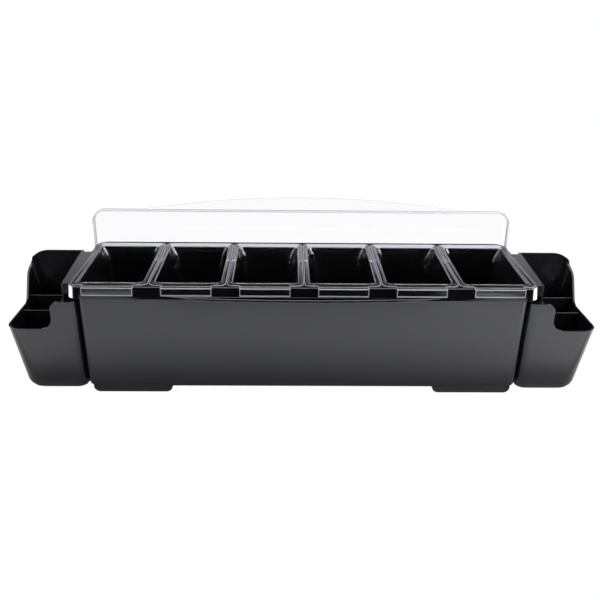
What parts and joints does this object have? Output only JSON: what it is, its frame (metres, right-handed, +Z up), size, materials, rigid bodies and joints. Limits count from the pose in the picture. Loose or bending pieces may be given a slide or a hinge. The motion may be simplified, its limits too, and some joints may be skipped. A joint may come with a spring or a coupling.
{
  "type": "condiment caddy",
  "caption": "Long black countertop tub with lift-out clear trays, a clear lid on swing links and a hook-on napkin and straw holder at each end.",
  "frame": {"origin": "on the table under the middle of the whole outline, lid standing behind the tub", "axes": "+X to the right along the tub, +Y to the back where the lid stands, +Z up"},
  "size_m": [0.6518, 0.1816, 0.1794],
  "materials": {
    "tub_black": "gloss black moulded plastic with soft reflections",
    "holder_black": "gloss black moulded plastic",
    "tray_clear": "clear moulded plastic, faint violet tint",
    "lid_clear": "clear moulded plastic, faint violet tint",
    "hinge_black": "satin black moulded plastic",
    "pin_steel": "plain steel",
    "rubber_pad": "matt black rubber"
  },
  "bodies": {
    "base": {"base_shell": "tub_black", "base_liner": "tub_black", "foot_pad_front_left": "rubber_pad", "foot_pad_front_right": "rubber_pad", "foot_pad_back_left": "rubber_pad", "foot_pad_back_right": "rubber_pad", "hinge_bracket_left": "hinge_black", "hinge_bracket_right": "hinge_black", "bracket_screws": "pin_steel", "pivot_pin_left": "pin_steel", "pivot_pin_right": "pin_steel"},
    "swing_arms": {"swing_link_left": "hinge_black", "swing_link_right": "hinge_black"},
    "lid": {"lid": "lid_clear", "lid_pin_left": "pin_steel", "lid_pin_right": "pin_steel"},
    "tray_1": {"tray_1": "tray_clear"},
    "tray_2": {"tray_2": "tray_clear"},
    "tray_3": {"tray_3": "tray_clear"},
    "tray_4": {"tray_4": "tray_clear"},
    "tray_5": {"tray_5": "tray_clear"},
    "tray_6": {"tray_6": "tray_clear"},
    "holder_left": {"holder_left": "holder_black", "divider_front_left": "holder_black", "divider_back_left": "holder_black"},
    "holder_right": {"holder_right": "holder_black", "divider_front_right": "holder_black", "divider_back_right": "holder_black"}
  },
  "joints": [
    {"name": "lid_swing", "type": "hinge", "parent": "base", "child": "swing_arms", "pos_m": [0, 0.07825, 0.0685], "axis": [-1, 0, 0], "range_deg": [-180, 0]},
    {"name": "lid_tilt", "type": "hinge", "parent": "swing_arms", "child": "lid", "pos_m": [0, 0.07825, 0.013], "axis": [-1, 0, 0], "range_deg": [0, 90]},
    {"name": "tray_1_lift", "type": "slide", "parent": "base", "child": "tray_1", "axis": [0, 0, 1], "range_m": [0, 0.09]},
    {"name": "tray_2_lift", "type": "slide", "parent": "base", "child": "tray_2", "axis": [0, 0, 1], "range_m": [0, 0.09]},
    {"name": "tray_3_lift", "type": "slide", "parent": "base", "child": "tray_3", "axis": [0, 0, 1], "range_m": [0, 0.09]},
    {"name": "tray_4_lift", "type": "slide", "parent": "base", "child": "tray_4", "axis": [0, 0, 1], "range_m": [0, 0.09]},
    {"name": "tray_5_lift", "type": "slide", "parent": "base", "child": "tray_5", "axis": [0, 0, 1], "range_m": [0, 0.09]},
    {"name": "tray_6_lift", "type": "slide", "parent": "base", "child": "tray_6", "axis": [0, 0, 1], "range_m": [0, 0.09]},
    {"name": "holder_left_lift", "type": "slide", "parent": "base", "child": "holder_left", "axis": [0, 0, 1], "range_m": [0, 0.006]},
    {"name": "holder_right_lift", "type": "slide", "parent": "base", "child": "holder_right", "axis": [0, 0, 1], "range_m": [0, 0.006]}
  ],
  "couplings": [
    {"joint": "lid_tilt", "follows": "lid_swing", "ratio": -0.5}
  ]
}
